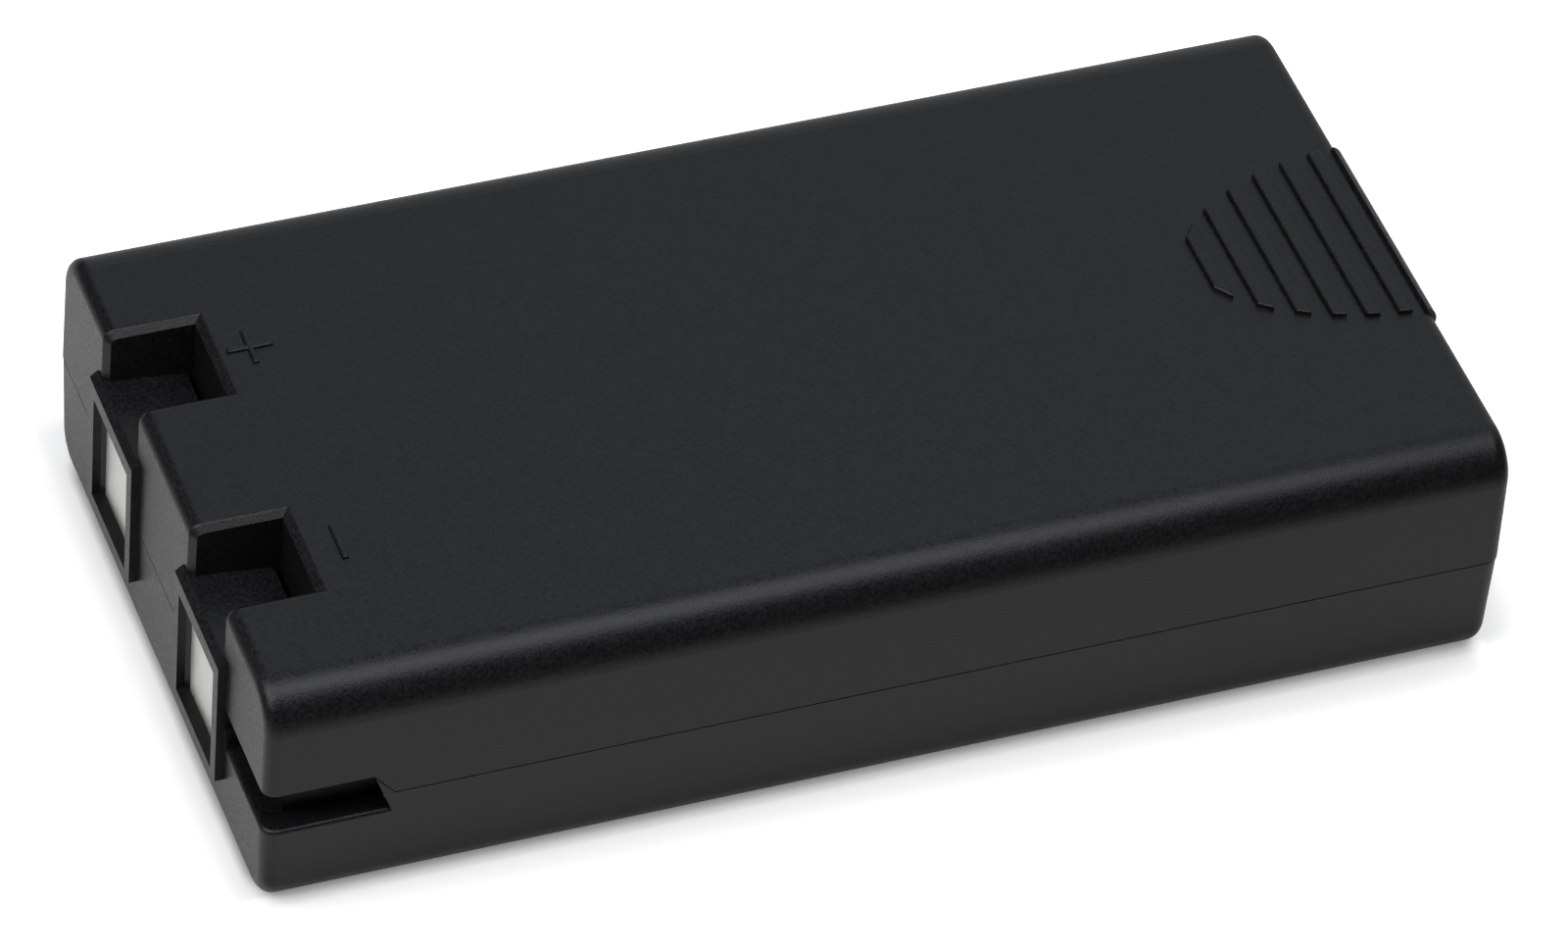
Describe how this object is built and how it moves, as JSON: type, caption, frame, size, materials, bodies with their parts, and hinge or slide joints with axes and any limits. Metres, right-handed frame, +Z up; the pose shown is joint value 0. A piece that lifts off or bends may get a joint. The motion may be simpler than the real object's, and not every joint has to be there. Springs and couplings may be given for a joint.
{
  "type": "printer battery",
  "caption": "Flat black two-shell battery pack with recessed end contacts in raised frames, end notches, a corner keying slot and a ribbed thumb grip.",
  "frame": {"origin": "middle of the bottom face, between the two end faces of the housing", "axes": "+X along the housing, away from the contacts; +Y to the positive contact's side; +Z up, out of the face with the grip"},
  "size_m": [0.105, 0.055, 0.0228],
  "materials": {
    "housing": "black, fine spark-eroded texture",
    "contact_plate": "matt nickel plating",
    "cell_sleeve": "shrunk sleeve",
    "washer_paper": "paper",
    "nickel": "rolled nickel",
    "insulating_paper": "pressed paper",
    "board_laminate": "solder resist",
    "chip_moulding": "moulded",
    "resistor_coat": "coated",
    "fuse_ceramic": "ceramic",
    "capacitor_ceramic": "ceramic",
    "bead_coat": "dipped"
  },
  "bodies": {
    "root": {"upper_shell": "housing", "lower_shell": "housing", "positive_contact": "contact_plate", "negative_contact": "contact_plate", "cell_1": "cell_sleeve", "cell_2": "cell_sleeve", "cell_3": "cell_sleeve", "cell_4": "cell_sleeve", "cell_washer_1": "washer_paper", "cell_washer_2": "washer_paper", "cell_washer_3": "washer_paper", "cell_washer_4": "washer_paper", "series_link_1_2": "nickel", "series_link_2_3": "nickel", "series_link_3_4": "nickel", "negative_strip": "nickel", "positive_strip": "nickel", "positive_paper": "insulating_paper", "link_2_3_paper": "insulating_paper", "link_3_4_paper": "insulating_paper", "protection_board": "board_laminate", "power_transistor_1": "chip_moulding", "power_transistor_2": "chip_moulding", "protection_chip": "chip_moulding", "sense_resistor": "resistor_coat", "board_fuse": "fuse_ceramic", "filter_capacitor_1": "capacitor_ceramic", "filter_capacitor_2": "capacitor_ceramic", "thermistor": "bead_coat"}
  },
  "joints": []
}
